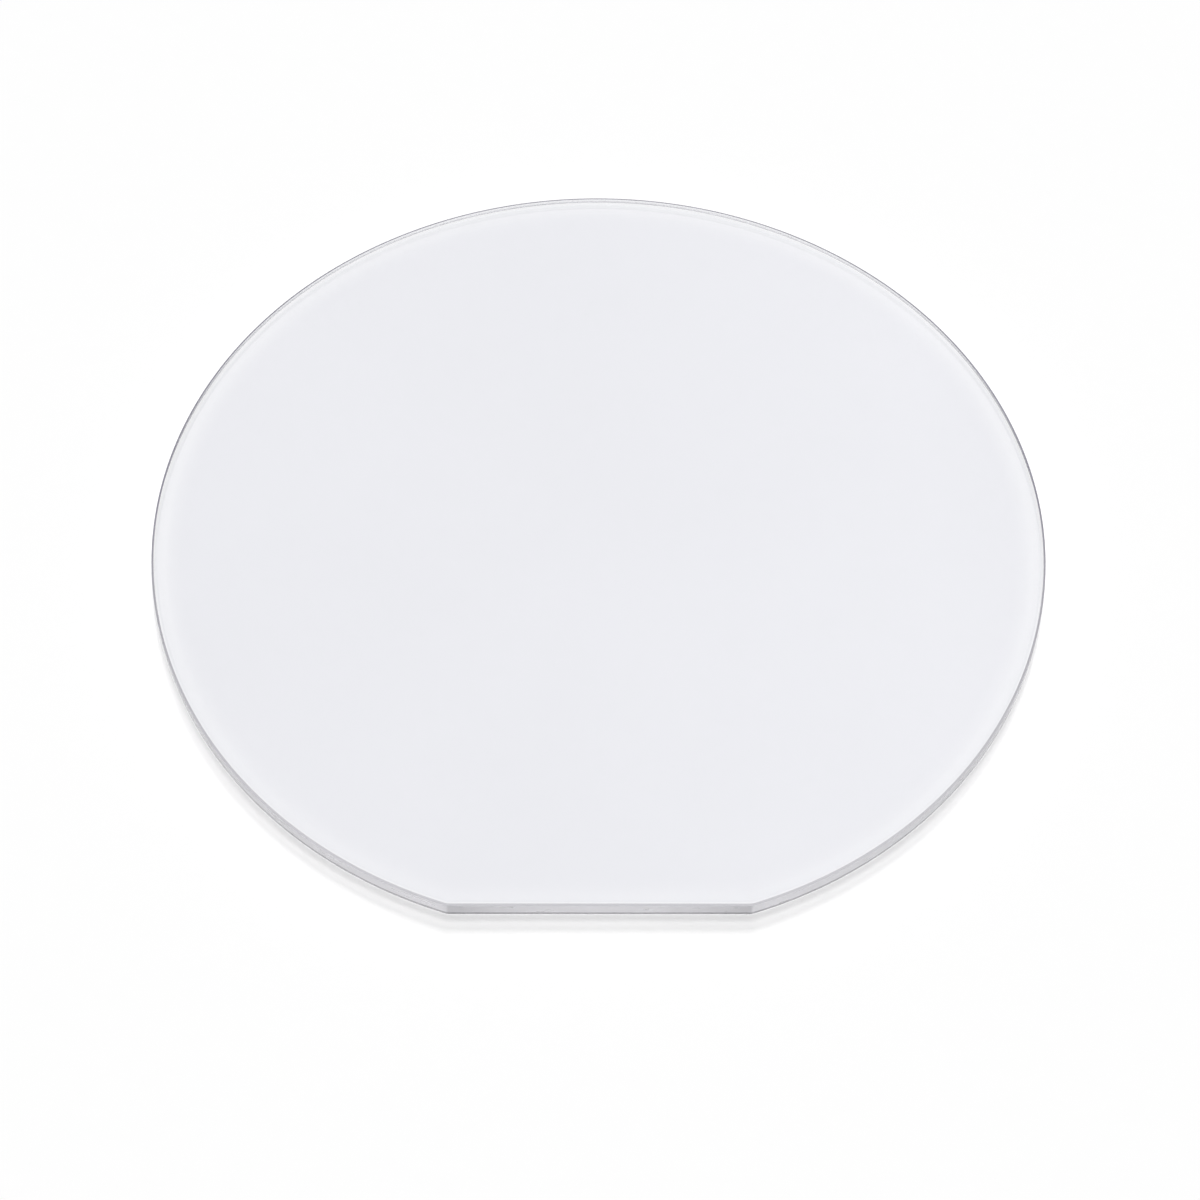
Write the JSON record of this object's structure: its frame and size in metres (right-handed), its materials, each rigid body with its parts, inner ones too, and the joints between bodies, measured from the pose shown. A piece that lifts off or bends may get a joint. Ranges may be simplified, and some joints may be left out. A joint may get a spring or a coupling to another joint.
{
  "type": "sapphire wafer",
  "caption": "Thin round wafer of clear single-crystal sapphire with one orientation flat and a ground, chamfered edge, used as a substrate for growing and testing films.",
  "frame": {"origin": "centre of the wafer's round outline, on its back face", "axes": "+Z out of the front face; -Y out of the orientation flat; +X along the flat, to the right when the flat faces the viewer"},
  "size_m": [0.0508, 0.0495, 0.001],
  "materials": {
    "sapphire": "clear crystal with polished faces and a finely ground, frosted edge"
  },
  "bodies": {
    "root": {"wafer": "sapphire"}
  },
  "joints": []
}
